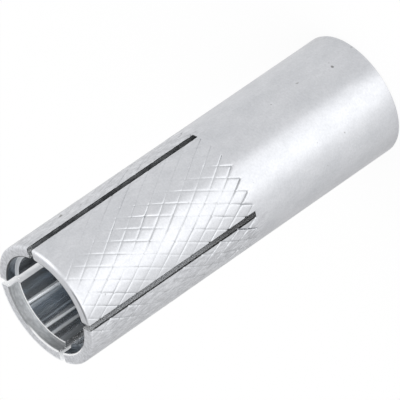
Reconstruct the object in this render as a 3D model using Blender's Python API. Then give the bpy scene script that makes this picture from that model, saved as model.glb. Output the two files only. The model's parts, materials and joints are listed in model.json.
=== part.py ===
"""Drop-in anchor: a split and knurled steel sleeve, with the expander plug wedged in it.

The sleeve is turned from bar, knurled over its split half and sawn into four fingers.
It stands on its threaded end at z = 0, with its axis on +Z and its split mouth upwards.
All sizes are in metres.
"""

import math

import bmesh
import bpy
import numpy as np

# Sleeve, outside
SLEEVE_DIAMETER = 0.0160
FOOT_CHAMFER = 0.0004
RIM_ROUNDING = 0.00026

# Sleeve, inside, from the threaded end to the mouth
THREAD_BORE_DIAMETER = 0.0102
THREAD_COUNTERSINK = 0.0009
THREAD_LENGTH = 0.0200
PLUG_BORE_LENGTH = 0.0060
SEAT_LENGTH = 0.0085
SEAT_ANGLE = math.radians(8.0)
WAIST_LENGTH = 0.0020
FLARE_LENGTH = 0.0060
MOUTH_BORE_LENGTH = 0.0075

# Walls at the mouth
MOUTH_WALL = 0.0020
RIM_WALL = 0.00145
COUNTERBORE_DEPTH = 0.0013
EDGE_BREAK = 0.00016

# Diamond knurl, from the mouth down
KNURL_LENGTH = 0.0265
KNURL_PITCH = 0.001795
KNURL_ANGLE = math.radians(32.0)
KNURL_DEPTH = 0.00013
KNURL_GROOVE_WIDTH = 0.00034
KNURL_RIM_MARGIN = 0.0003

# Saw cuts that part the four fingers
SLOT_LENGTH = 0.0275
SLOT_WIDTH = 0.0009
SLOT_CROSSING = math.radians(85.0)
SLOT_SHIFT_Y = -0.00017
SAW_RADIUS = 0.0300

# Expander plug
PLUG_LENGTH = 0.0135
PLUG_NOSE_SETBACK = 0.0005
PLUG_CLEARANCE = 0.0003
PLUG_BACK_CHAMFER = 0.0006
PLUG_NOSE_CHAMFER = 0.0004

# Fineness of the mesh
ROUNDING_STEPS = 3
SAW_ARC_STEPS = 12
PLUG_SIDES = 48
SHARP_EDGE_ANGLE = math.radians(35.0)

# Stations along the axis
SEAT_START = THREAD_LENGTH + PLUG_BORE_LENGTH
SEAT_END = SEAT_START + SEAT_LENGTH
WAIST_END = SEAT_END + WAIST_LENGTH
FLARE_END = WAIST_END + FLARE_LENGTH
SLEEVE_LENGTH = FLARE_END + MOUTH_BORE_LENGTH

# Radii
OUTER_RADIUS = SLEEVE_DIAMETER / 2
THREAD_BORE_RADIUS = THREAD_BORE_DIAMETER / 2
WAIST_RADIUS = THREAD_BORE_RADIUS - SEAT_LENGTH * math.tan(SEAT_ANGLE)
MOUTH_BORE_RADIUS = OUTER_RADIUS - MOUTH_WALL
COUNTERBORE_RADIUS = OUTER_RADIUS - RIM_WALL

# The knurl tool leaves a whole number of grooves round the sleeve, so its sides follow them
KNURL_GROOVES = round(math.pi * SLEEVE_DIAMETER / KNURL_PITCH)
SLEEVE_SIDES = 2 * KNURL_GROOVES


def clear_scene():
    """Remove whatever objects the open file holds."""
    for old in list(bpy.data.objects):
        bpy.data.objects.remove(old, do_unlink=True)


def steel(name, colour, roughness):
    """Return a plain metal material."""
    material = bpy.data.materials.new(name)
    material.use_nodes = True
    shader = material.node_tree.nodes["Principled BSDF"]
    shader.inputs["Base Color"].default_value = (*colour, 1.0)
    shader.inputs["Metallic"].default_value = 1.0
    shader.inputs["Roughness"].default_value = roughness
    material.diffuse_color = (*colour, 1.0)
    return material


def add_object(name, vertices, faces, material=None):
    """Make one object from vertices and faces, shaded smooth except at its sharp edges."""
    mesh = bpy.data.meshes.new(name)
    mesh.from_pydata([tuple(map(float, vertex)) for vertex in vertices], [], faces)
    mesh.validate()
    mesh.shade_smooth()
    mesh.set_sharp_from_angle(angle=SHARP_EDGE_ANGLE)
    made = bpy.data.objects.new(name, mesh)
    bpy.context.scene.collection.objects.link(made)
    if material is not None:
        mesh.materials.append(material)
    return made


def around(radius, height, turn):
    """Return the point at a radius, a height and a turn about the axis."""
    return radius * math.cos(turn), radius * math.sin(turn), height


def ring(radius, height, sides):
    """Return one ring of points, as many as the turned body has sides."""
    return [around(radius, height, 2 * math.pi * side / sides) for side in range(sides)]


def ring_faces(lower, upper, sides):
    """Return the quads between two rings, given the number of each ring's first vertex."""
    faces = []
    for side in range(sides):
        after = (side + 1) % sides
        faces.append((lower + side, lower + after, upper + after, upper + side))
    return faces


def rounded_rim():
    """Return the quarter round from the outside of the sleeve to its end face."""
    centre_radius = OUTER_RADIUS - RIM_ROUNDING
    centre_height = SLEEVE_LENGTH - RIM_ROUNDING
    points = []
    for step in range(ROUNDING_STEPS + 1):
        bend = math.pi / 2 * step / ROUNDING_STEPS
        points.append((centre_radius + RIM_ROUNDING * math.cos(bend),
                       centre_height + RIM_ROUNDING * math.sin(bend)))
    return points


def sleeve_profile(knurl_top, knurl_bottom):
    """Return the turned outline from just over the knurl, through the bore, to just under it."""
    foot_wall = OUTER_RADIUS - THREAD_BORE_RADIUS
    countersink = min(THREAD_COUNTERSINK, foot_wall / 2)
    foot_chamfer = min(FOOT_CHAMFER, foot_wall / 4)
    counterbore_floor = SLEEVE_LENGTH - COUNTERBORE_DEPTH
    outside_top = [(OUTER_RADIUS, knurl_top)] + rounded_rim()
    bore = [
        (COUNTERBORE_RADIUS + EDGE_BREAK, SLEEVE_LENGTH),
        (COUNTERBORE_RADIUS, SLEEVE_LENGTH - EDGE_BREAK),
        (COUNTERBORE_RADIUS, counterbore_floor),
        (MOUTH_BORE_RADIUS + EDGE_BREAK, counterbore_floor),
        (MOUTH_BORE_RADIUS, counterbore_floor - EDGE_BREAK),
        (MOUTH_BORE_RADIUS, FLARE_END),
        (WAIST_RADIUS, WAIST_END),
        (WAIST_RADIUS, SEAT_END),
        (THREAD_BORE_RADIUS, SEAT_START),
        (THREAD_BORE_RADIUS, countersink),
        (THREAD_BORE_RADIUS + countersink, 0.0),
    ]
    foot = [
        (OUTER_RADIUS - foot_chamfer, 0.0),
        (OUTER_RADIUS, foot_chamfer),
        (OUTER_RADIUS, knurl_bottom),
    ]
    return outside_top + bore + foot


class Knurl:
    """The band of raised diamonds between two crossing sets of helical grooves.

    The band is a lattice of half pitches (columns) and half diamonds (rows). Grooves cross
    where column and row add up to an even number, and a diamond stands on each odd place.
    """

    def __init__(self):
        self.top = SLEEVE_LENGTH - RIM_ROUNDING - KNURL_RIM_MARGIN
        self.bottom = SLEEVE_LENGTH - KNURL_LENGTH
        half_pitch = KNURL_PITCH / 2
        wanted_row = half_pitch / math.tan(KNURL_ANGLE)
        self.rows = max(2, round((self.top - self.bottom) / wanted_row))
        self.columns = SLEEVE_SIDES
        side_distance = half_pitch * wanted_row / math.hypot(half_pitch, wanted_row)
        self.inset = KNURL_GROOVE_WIDTH / 2 / side_distance
        self.row_height = (self.top - self.bottom) / (self.rows + 2 * self.inset)
        self.first_row = self.bottom + self.inset * self.row_height
        self.vertices = []
        self.faces = []
        self.crossings = {}

    def place(self, column, row, radius):
        """Add the vertex at a place of the lattice and return its number."""
        turn = 2 * math.pi * column / self.columns
        self.vertices.append(around(radius, self.first_row + row * self.row_height, turn))
        return len(self.vertices) - 1

    def crossing(self, column, row):
        """Return the vertex at the bottom of the groove where two grooves cross."""
        key = (column % self.columns, row)
        if key not in self.crossings:
            self.crossings[key] = self.place(key[0], row, OUTER_RADIUS - KNURL_DEPTH)
        return self.crossings[key]

    def add_diamond(self, column, row):
        """Add one flat-topped diamond and the groove flanks round it."""
        reach = 1.0 - self.inset
        corners = [(0, -1), (1, 0), (0, 1), (-1, 0)]
        low = [self.crossing(column + across, row + along) for across, along in corners]
        high = [self.place(column + reach * across, row + reach * along, OUTER_RADIUS)
                for across, along in corners]
        self.faces.append(tuple(high))
        for corner in range(4):
            after = (corner + 1) % 4
            self.faces.append((low[corner], low[after], high[after], high[corner]))

    def add_end(self, row, outwards):
        """Run the grooves out into the plain surface, and return the ring where they stop.

        The plain surface comes in between the last diamonds as a point at every other
        column. outwards is 1 at the upper end and -1 at the lower end.
        """
        stop = []
        for column in range(self.columns):
            on_point = (column + row) % 2 == 1
            start = row - outwards if on_point else row
            stop.append(self.place(column, start + outwards * self.inset, OUTER_RADIUS))
        for column in range(self.columns):
            if (column + row) % 2 == 0:
                continue
            point = self.crossing(column, row - outwards)
            left, right = self.crossing(column - 1, row), self.crossing(column + 1, row)
            stop_left = stop[column - 1]
            stop_right = stop[(column + 1) % self.columns]
            flanks = [(stop_right, right, point, stop[column]), (stop_left, stop[column], point, left)]
            self.faces += flanks if outwards < 0 else [tuple(reversed(flank)) for flank in flanks]
        return stop

    def build(self):
        """Add every diamond and both ends, and return the rings at the lower and upper end."""
        for row in range(1, self.rows):
            for column in range(self.columns):
                if (column + row) % 2 == 1:
                    self.add_diamond(column, row)
        return self.add_end(0, -1), self.add_end(self.rows, 1)


def sleeve_blank():
    """Return the vertices and faces of the turned and knurled sleeve before it is sawn."""
    knurl = Knurl()
    lower_stop, upper_stop = knurl.build()
    vertices = list(knurl.vertices)
    faces = list(knurl.faces)
    profile = sleeve_profile(knurl.top + KNURL_RIM_MARGIN / 2, knurl.bottom - KNURL_RIM_MARGIN)
    starts = []
    for radius, height in profile:
        starts.append(len(vertices))
        vertices += ring(radius, height, SLEEVE_SIDES)
    for lower, upper in zip(starts, starts[1:]):
        faces += ring_faces(lower, upper, SLEEVE_SIDES)
    for side in range(SLEEVE_SIDES):
        after = (side + 1) % SLEEVE_SIDES
        faces.append((upper_stop[side], upper_stop[after], starts[0] + after, starts[0] + side))
        faces.append((starts[-1] + side, starts[-1] + after, lower_stop[after], lower_stop[side]))
    return vertices, faces


def saw_blade(name, turn):
    """Add one round blade that cuts two opposite slots, turned about the axis."""
    half_span = OUTER_RADIUS + SLOT_WIDTH
    root = SLEEVE_LENGTH - SLOT_LENGTH
    over_the_mouth = SLEEVE_LENGTH + SLOT_WIDTH
    outline = []
    for step in range(SAW_ARC_STEPS + 1):
        along = half_span * (2 * step / SAW_ARC_STEPS - 1)
        outline.append((along, root + SAW_RADIUS - math.sqrt(SAW_RADIUS ** 2 - along ** 2)))
    outline += [(half_span, over_the_mouth), (-half_span, over_the_mouth)]
    count = len(outline)
    near = [(along, -SLOT_WIDTH / 2, height) for along, height in outline]
    far = [(along, SLOT_WIDTH / 2, height) for along, height in outline]
    faces = [tuple(range(count)), tuple(reversed(range(count, 2 * count)))]
    for corner in range(count):
        after = (corner + 1) % count
        faces.append((after, corner, count + corner, count + after))
    blade = add_object(name, near + far, faces)
    blade.rotation_euler = (0.0, 0.0, turn)
    blade.location = (0.0, SLOT_SHIFT_Y, 0.0)
    blade.hide_render = True
    blade.display_type = "WIRE"
    return blade


def build_sleeve():
    """Build the sleeve: the knurled blank with two saw cuts that cross near the axis."""
    sleeve = add_object("sleeve", *sleeve_blank(),
                        steel("zinc_plated_steel", (0.78, 0.79, 0.80), 0.28))
    for number, turn in enumerate((SLOT_CROSSING / 2, -SLOT_CROSSING / 2), start=1):
        cut = sleeve.modifiers.new(f"saw_cut_{number}", "BOOLEAN")
        cut.operation = "DIFFERENCE"
        cut.solver = "EXACT"
        cut.object = saw_blade(f"saw_blade_{number}", turn)
    return sleeve


def seat_radius(height):
    """Return the bore's radius on the conical seat, which narrows towards the mouth."""
    return THREAD_BORE_RADIUS - (height - SEAT_START) * math.tan(SEAT_ANGLE)


def build_expander_plug():
    """Build the plug: a plain back in the bore and a cone that lies along the seat."""
    nose = SEAT_END - PLUG_NOSE_SETBACK
    back = nose - PLUG_LENGTH
    back_radius = THREAD_BORE_RADIUS - PLUG_CLEARANCE
    cone_start = SEAT_START - PLUG_CLEARANCE * math.tan(SEAT_ANGLE / 2)
    cone_gap = PLUG_CLEARANCE / math.cos(SEAT_ANGLE)
    shoulder = nose - PLUG_NOSE_CHAMFER
    outline = [
        (back_radius - PLUG_BACK_CHAMFER, back),
        (back_radius, back + PLUG_BACK_CHAMFER),
        (back_radius, cone_start),
        (seat_radius(shoulder) - cone_gap, shoulder),
        (seat_radius(shoulder) - cone_gap - PLUG_NOSE_CHAMFER, nose),
    ]
    vertices, faces = [], []
    for radius, height in outline:
        vertices += ring(radius, height, PLUG_SIDES)
    for number in range(len(outline) - 1):
        faces += ring_faces(number * PLUG_SIDES, (number + 1) * PLUG_SIDES, PLUG_SIDES)
    last = (len(outline) - 1) * PLUG_SIDES
    faces.append(tuple(reversed(range(PLUG_SIDES))))
    faces.append(tuple(range(last, last + PLUG_SIDES)))
    return add_object("expander_plug", vertices, faces,
                      steel("plain_steel", (0.55, 0.55, 0.56), 0.35))


def main():
    """Build the two pieces of the anchor."""
    clear_scene()
    build_sleeve()
    build_expander_plug()


main()
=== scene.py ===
"""Looks of a zinc-plated drop-in anchor: split knurled sleeve with its expander plug.

The sleeve stands on its threaded end, axis on +Z, split mouth upwards. Lengths are in metres.
"""

import json
import logging
from dataclasses import dataclass, field
from enum import Enum
from math import cos, hypot, pi, radians, sin, sqrt, tan

import bpy
import numpy as np
from mathutils import Matrix, Vector

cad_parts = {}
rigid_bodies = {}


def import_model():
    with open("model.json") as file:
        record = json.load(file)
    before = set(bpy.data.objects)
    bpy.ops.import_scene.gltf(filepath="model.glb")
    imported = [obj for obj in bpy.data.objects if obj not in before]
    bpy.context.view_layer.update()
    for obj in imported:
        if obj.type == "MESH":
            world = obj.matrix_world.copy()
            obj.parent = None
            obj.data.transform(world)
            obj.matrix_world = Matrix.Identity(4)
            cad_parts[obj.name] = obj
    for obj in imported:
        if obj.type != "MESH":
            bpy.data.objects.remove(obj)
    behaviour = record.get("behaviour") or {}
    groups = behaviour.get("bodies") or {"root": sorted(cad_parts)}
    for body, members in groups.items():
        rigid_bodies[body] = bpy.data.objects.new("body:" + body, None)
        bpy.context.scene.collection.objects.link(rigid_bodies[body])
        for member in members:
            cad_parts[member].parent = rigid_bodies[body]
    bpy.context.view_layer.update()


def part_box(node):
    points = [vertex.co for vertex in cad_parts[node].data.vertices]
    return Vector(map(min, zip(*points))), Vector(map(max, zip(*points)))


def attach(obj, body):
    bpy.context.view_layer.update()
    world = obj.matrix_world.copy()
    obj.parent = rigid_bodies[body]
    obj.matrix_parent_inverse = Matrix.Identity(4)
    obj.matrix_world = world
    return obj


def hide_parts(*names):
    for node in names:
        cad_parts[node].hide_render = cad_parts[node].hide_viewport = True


LOG = logging.getLogger("drop_in_anchor")
MM = 0.001
CAMERA_SIDE = radians(-96.6)
SHARP = radians(38.0)
LOBES = (1, 5)
WAVE_LENGTHS = (7.0, 24.0)
Array = np.ndarray
Material = bpy.types.Material
Object = bpy.types.Object

# Where the middle vertex of a broken edge lies, as a share of the break, to round it.
SOFTENED = 0.3

# Parts of the sleeve as FinishNodes.facing takes them: a turn in degrees and two cosines.
FAR_FINGER = (186.5, 0.66, 0.69)
UPPER_FINGER = (94.0, 0.74, 0.79)
LOWER_FINGER = (279.0, 0.74, 0.79)
LOWER_CUT = (234.0, 0.97, 0.98)


class Surface(Enum):
    """Ways in which the steel was cut, each with its own finish. The value is the slot's number."""

    TURNED = 0
    BORED = 1
    COUNTERBORED = 2
    FIRST_CUT = 3
    SECOND_CUT = 4


def smooth_step(low: float, high: float, value: Array) -> Array:
    """Rise from 0 at and under low to 1 at and over high, as 3t^2 - 2t^3."""
    share = np.clip((value - low) / (high - low), 0.0, 1.0)
    return share * share * (3.0 - 2.0 * share)


def slow_noise(turn: Array, height: Array, seed: int, waves: int = 5) -> Array:
    """Return a smooth wander about 0 over the sleeve: a sum of a few seeded sine waves.

    Args:
        turn: Turn about the axis, in radians. The result closes on itself round the axis.
        height: Height along the axis.
        seed: Number that fixes the waves.
        waves: How many waves are added.

    Returns:
        Values of about -1 to 1 in the shape of the arguments.
    """
    draw = np.random.default_rng(seed)
    total = np.zeros(np.broadcast(turn, height).shape)
    for _ in range(waves):
        lobes = draw.integers(*LOBES)
        length = draw.uniform(*WAVE_LENGTHS) * MM
        phase, shift = draw.uniform(0.0, 2.0 * pi, 2)
        total += np.sin(lobes * turn + phase) * np.sin(2.0 * pi * height / length + shift)
    return total / sqrt(waves)


def on_cylinder(radius: Array, turn: Array, height: Array) -> Array:
    """Return points with x = r cos t, y = r sin t and z = h along a new last axis."""
    radius, turn, height = np.broadcast_arrays(radius, turn, height)
    return np.stack([radius * np.cos(turn), radius * np.sin(turn), height], -1)


def direction(turn: float, elevation: float = 0.0) -> Vector:
    """Return (cos t cos e, sin t cos e, sin e), with t in degrees from the camera's side."""
    turn, elevation = CAMERA_SIDE + radians(turn), radians(elevation)
    return Vector((cos(turn) * cos(elevation), sin(turn) * cos(elevation), sin(elevation)))


def placed(name: str, data: bpy.types.ID) -> Object:
    """Make an object and put it into the scene.

    Args:
        name: Name of the object.
        data: Its mesh, light or camera.

    Returns:
        The object.
    """
    made = bpy.data.objects.new(name, data)
    bpy.context.scene.collection.objects.link(made)
    return made


class MeshBuilder:
    """Collects blocks of vertices and faces as whole arrays, and makes one mesh object of them."""

    def __init__(self) -> None:
        """Start with nothing collected."""
        self.points: list[Array] = []
        self.quads: list[Array] = []
        self.triangles: list[Array] = [np.zeros((0, 3), int)]
        self.count = 0

    def add_points(self, points: Array) -> Array:
        """Add vertices.

        Args:
            points: A block of points, with x, y and z along its last axis.

        Returns:
            Their numbers, in the shape of the block without its last axis.
        """
        flat = points.reshape(-1, 3)
        numbers = self.count + np.arange(len(flat)).reshape(points.shape[:-1])
        self.points.append(flat)
        self.count += len(flat)
        return numbers

    def add_rings(self, outline: Array, turns: Array) -> Array:
        """Add the closed rings of a turned outline, and the quads between following rings.

        Args:
            outline: Rows of radius and height, outside upwards. Each may vary with the turn.
            turns: Turn of each vertex of a ring.

        Returns:
            The number of every vertex, (ring, side).
        """
        numbers = self.add_points(on_cylinder(outline[:, :-1], turns, outline[:, -1:]))
        self.join_rings(numbers[:-1], numbers[1:])
        return numbers

    def join_rings(self, lower: Array, upper: Array) -> None:
        """Add quads from each lower ring to its upper ring.

        Args:
            lower: Vertex numbers of one ring, or of one ring in each row.
            upper: The same for the rings above them.
        """
        lower, upper = np.atleast_2d(lower), np.atleast_2d(upper)
        corners = [lower, np.roll(lower, -1, 1), np.roll(upper, -1, 1), upper]
        self.quads.append(np.stack(corners, -1).reshape(-1, 4))

    def join_fan(self, fine: Array, coarse: Array, inwards: bool) -> None:
        """Join a ring of many sides to one of fewer, by fans of triangles on a flat face.

        Each side of the fine ring takes the coarse vertex nearest to its own middle, and each
        side of the coarse ring takes the fine vertex between two fans.

        Args:
            fine: Vertex numbers of the ring with more sides.
            coarse: Vertex numbers of the ring with fewer sides.
            inwards: True where the outline runs from the fine ring to the coarse one.
        """
        sides = np.arange(len(fine))
        hubs = np.round((sides + 0.5) * len(coarse) / len(fine)).astype(int)
        outer = np.stack([fine, np.roll(fine, -1), coarse[hubs % len(coarse)]], -1)
        meets = np.searchsorted(hubs, np.arange(len(coarse)), side="right") % len(fine)
        inner = np.stack([fine[meets], np.roll(coarse, -1), coarse], -1)
        found = np.concatenate([outer, inner])
        self.triangles.append(found if inwards else found[:, ::-1])

    def make(self, name: str, materials: list[Material]) -> Object:
        """Make the object, with its place in its mesh, shaded smooth.

        Args:
            name: Name of the object and of its mesh.
            materials: What goes into its slots, in order.

        Returns:
            The object, which is in the scene.
        """
        mesh = bpy.data.meshes.new(name)
        points = np.concatenate(self.points)
        quads, triangles = np.concatenate(self.quads), np.concatenate(self.triangles)
        loops = np.concatenate([quads.ravel(), triangles.ravel()])
        starts = np.concatenate([np.arange(len(quads)) * 4,
                                 len(quads) * 4 + np.arange(len(triangles)) * 3])
        mesh.vertices.add(len(points))
        mesh.vertices.foreach_set("co", points.astype(np.float32).ravel())
        mesh.loops.add(len(loops))
        mesh.loops.foreach_set("vertex_index", loops.astype(np.int32))
        mesh.polygons.add(len(starts))
        mesh.polygons.foreach_set("loop_start", starts.astype(np.int32))
        mesh.update(calc_edges=True)
        for material in materials:
            mesh.materials.append(material)
        mesh.shade_smooth()
        return placed(name, mesh)


@dataclass(frozen=True)
class Places:
    """Vertices of the knurl: counts of grooves crossed in each family, turns and heights."""

    a: Array
    b: Array
    turn: Array
    height: Array


@dataclass
class Knurl:
    """The rolled diamond knurl, as a fine mesh that follows its two families of grooves.

    A whole number in the counts a or b of grooves crossed is the middle of a groove. Turn grows
    with a + b and height with a - b. A field with two values has one for each family. The calm,
    lower and upper strips, pressed unlike the rest, are a turn and a width in degrees.
    """

    radius: float
    bottom: float
    top: float
    start_turn: float = radians(1.3)
    grooves: int = 28
    rows: int = 18
    half_width: float = 0.13 * MM
    depths: tuple = (0.031 * MM, 0.025 * MM)
    burrs: tuple = (0.010 * MM, 0.005 * MM)
    burr_width: float = 0.04 * MM
    crowns: tuple = (0.013 * MM, 0.005 * MM)
    crown_width: float = 0.33 * MM
    tilt: float = 0.010 * MM
    run_in: tuple = (-0.04 * MM, 0.12 * MM)
    first_bite: float = 1.9
    bite_length: float = 1.7 * MM
    rollers: int = 3
    hard_turn: float = radians(-108.6)
    strip_edges: tuple = (-0.90, 0.30)
    between: tuple = (0.95, 0.30)
    between_share: tuple = (1.0, 0.5)
    rim_loss: float = 0.28
    rim_loss_from: float = 0.85
    wander: float = 0.30
    wander_range: tuple = (0.35, 1.4)
    groove_wander: float = 0.5
    groove_range: tuple = (0.3, 1.6)
    patches: tuple = (0.3, 1.7)
    lean_slope: float = 6.0
    strip_seed: int = 7
    lean_seed: int = 11
    groove_seed: int = 20
    patch_seed: int = 31
    calm: tuple = (radians(-104.6), 14.0)
    calm_loss: float = 0.25
    lower: tuple = (radians(-158.6), 18.0)
    lower_gain: tuple = (-0.3, 4.0)
    lower_fade: float = 0.6
    lower_start_gain: tuple = (1.8, 0.3)
    lower_start_length: float = 4.0 * MM
    upper: tuple = (radians(-64.6), 22.0)
    upper_gain: tuple = (0.1, 0.3)
    upper_bite_loss: float = 0.8
    knots: tuple = (0.0, 0.030, 0.065, 0.10, 0.22, 0.5, 0.78, 0.90, 0.935, 0.970, 1.0)

    @property
    def fine(self) -> int:
        """How many squares of the mesh lie along one side of a diamond."""
        return len(self.knots) - 1

    @property
    def row_height(self) -> float:
        """Half the length of a diamond."""
        return (self.top - self.bottom) / self.rows

    @property
    def across(self) -> float:
        """Distance between two neighbouring grooves of one family, at right angles to them."""
        half_pitch = pi * self.radius / self.grooves
        return 2.0 * half_pitch * self.row_height / hypot(half_pitch, self.row_height)

    def strength(self, family: int, at: Places) -> Array:
        """Return how deep one family is pressed.

        The tool's three rollers bit hardest in the middle of three strips along the sleeve,
        and harder at the band's lower end, where it stopped, than towards the rim.

        Args:
            family: 0 or 1.
            at: The vertices.

        Returns:
            The depth as a share of a plain groove's, from 0 to a few times that.
        """
        from_start = at.height - self.bottom
        share = np.clip(from_start / (self.top - self.bottom), 0.0, 1.0)
        calm, lower, upper = [self.near(at.turn, *strip)
                              for strip in (self.calm, self.lower, self.upper)]
        strip = smooth_step(*self.strip_edges, np.cos(self.rollers * (at.turn - self.hard_turn)))
        rest = (self.between[0] - self.between[1] * share) * self.between_share[family]
        pressed = smooth_step(*self.run_in, from_start) * (rest + (1.0 - rest) * strip)
        pressed *= 1.0 + (self.first_bite * np.exp(-from_start / self.bite_length)
                          * (1.0 - self.upper_bite_loss * upper))
        pressed *= 1.0 - self.rim_loss * smooth_step(self.rim_loss_from, 1.0, share)
        pressed *= 1.0 - self.calm_loss * calm
        pressed *= 1.0 + self.lower_gain[family] * lower * (1.0 - self.lower_fade * share)
        pressed *= 1.0 + (self.lower_start_gain[family] * lower
                          * np.exp(-from_start / self.lower_start_length))
        pressed *= 1.0 + self.upper_gain[family] * upper
        uneven = 1.0 + self.wander * slow_noise(at.turn, at.height, self.strip_seed)
        return pressed * np.clip(uneven, *self.wander_range)

    @staticmethod
    def near(turn: Array, centre: float, width: float) -> Array:
        """Return a bell about a turn, exp((cos(turn - centre) - 1) / (1 - cos width))."""
        return np.exp((np.cos(turn - centre) - 1.0) / (1.0 - cos(radians(width))))

    def patchy(self, family: int, along: Array, line: Array) -> Array:
        """Return how well each stretch of a groove came out, from one crossing to the next.

        Args:
            family: 0 where a counts the grooves, 1 where b does.
            along: Count of crossings along the groove.
            line: The groove's own number.

        Returns:
            A factor in the range of patches, joined smoothly from stretch to stretch.
        """
        draw = np.random.default_rng(self.patch_seed + family)
        table = draw.uniform(*self.patches, (2 * self.rows, self.grooves))
        total = np.zeros(along.shape)
        whole = np.floor(along)
        share = along - whole
        for step, weight in ((0, 1.0 - share), (1, share)):
            place = whole + step
            count_a, count_b = (line, place) if family == 0 else (place, line)
            row = (count_a - count_b).astype(int) % (2 * self.rows)
            total += weight * table[row, count_b.astype(int) % self.grooves]
        return total

    def tilted(self, at: Places) -> Array:
        """Return the height by which each diamond leans, a seeded slope that ends at its grooves.

        Args:
            at: The vertices.

        Returns:
            The height over the blank.
        """
        draw = np.random.default_rng(self.lean_seed)
        lean = draw.normal(size=(2, self.rows + 3, self.grooves))
        cell_a, cell_b = np.floor(at.a).astype(int), np.floor(at.b).astype(int)
        row = np.clip(cell_a - cell_b + 1, 0, self.rows + 2)
        slopes = lean[:, row, cell_b % self.grooves]
        in_a, in_b = at.a - cell_a - 0.5, at.b - cell_b - 0.5
        window = np.clip((0.5 - np.abs(in_a)) * self.lean_slope, 0.0, 1.0)
        window *= np.clip((0.5 - np.abs(in_b)) * self.lean_slope, 0.0, 1.0)
        return self.tilt * window * (slopes[0] * (in_a + in_b) + slopes[1] * (in_a - in_b))

    def relief(self, at: Places) -> Array:
        """Return the height of the surface over the blank: V grooves with a raised lip each side.

        At distance d from the middle of a groove this is -depth * (1 - d / half_width) inside
        it, a bump of the burr's height centred on its edge, and a slow fall towards it that
        crowns the flats. The two families are added.

        Args:
            at: The vertices.

        Returns:
            The height, negative in a groove.
        """
        total = self.tilted(at) * self.strength(0, at)
        for family, (count, other) in enumerate(((at.a, at.b), (at.b, at.a))):
            distance = np.abs(count - np.round(count)) * self.across
            wander = slow_noise(at.turn, at.height, self.groove_seed + family)
            pressed = (np.clip(1.0 + self.groove_wander * wander, *self.groove_range)
                       * self.patchy(family, other, np.round(count)))
            groove = self.depths[family] * np.clip(1.0 - distance / self.half_width, 0.0, 1.0)
            from_edge = (distance - self.half_width) / self.burr_width
            lip = self.burrs[family] * np.exp(-from_edge ** 2)
            crown = self.crowns[family] * np.exp(-(distance / self.crown_width) ** 2)
            total += ((lip - groove) * pressed - crown) * self.strength(family, at)
        return total

    def keys(self, corners: list[tuple[Array, Array]]) -> Array:
        """Give each corner one whole number, the same after a full turn round the sleeve.

        Args:
            corners: For each corner of the faces, its fine steps in a and in b.

        Returns:
            The numbers, (face, corner).
        """
        around = self.grooves * self.fine
        steps = np.array(corners)
        steps = steps - steps[:, 1:] // around * around
        return (steps[:, 0] * around + steps[:, 1]).T

    def counts(self, steps: Array) -> Array:
        """Turn fine steps into a count of grooves, by the knots inside one diamond."""
        return steps // self.fine + np.array(self.knots)[steps % self.fine]

    def side_turns(self) -> Array:
        """Return the turn of each vertex of the end rings."""
        counts = self.counts(np.arange(self.grooves * self.fine))
        return self.start_turn + 2.0 * counts * pi / self.grooves

    def add_to(self, builder: MeshBuilder) -> tuple[Array, Array]:
        """Add the band: squares between the fine steps, and halves of them along its ends.

        A row shifts the places by half a groove's pitch, so the upper ring is rolled back by
        half as many pitches as there are rows, and both end rings start at the same turn.

        Args:
            builder: Collector of the sleeve's mesh.

        Returns:
            The vertex numbers of the lower and of the upper end ring.
        """
        fine = self.fine
        around = self.grooves * fine
        first, row, step_a, step_b = np.meshgrid(
            np.arange(self.grooves), np.arange(self.rows + 1), np.arange(fine), np.arange(fine),
            indexing="ij")
        kept = ((row > 0) | (step_a > step_b)) & ((row < self.rows) | (step_a < step_b))
        a, b = ((first + row) * fine + step_a)[kept], (first * fine + step_b)[kept]
        low = np.arange(around)
        high = low + self.rows * fine
        squares = self.keys([(a, b + 1), (a + 1, b + 1), (a + 1, b), (a, b)])
        halves = np.concatenate([
            self.keys([(low, low), (low + 1, low + 1), (low + 1, low)]),
            self.keys([(high, low), (high, low + 1), (high + 1, low + 1)])])
        places, numbers = np.unique(np.concatenate([squares.ravel(), halves.ravel()]),
                                    return_inverse=True)
        numbers = numbers + builder.count
        rings = [np.searchsorted(places, self.keys([(ring, low)])[:, 0]) + builder.count
                 for ring in (low, high)]
        a, b = self.counts(places // around), self.counts(places % around)
        at = Places(a, b, self.start_turn + (a + b) * pi / self.grooves,
                    self.bottom + (a - b) * self.row_height)
        builder.add_points(on_cylinder(self.radius + self.relief(at), at.turn, at.height))
        builder.quads.append(numbers[:squares.size].reshape(-1, 4))
        builder.triangles.append(numbers[squares.size:].reshape(-1, 3))
        return rings[0], np.roll(rings[1], self.rows // 2 * fine)


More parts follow.
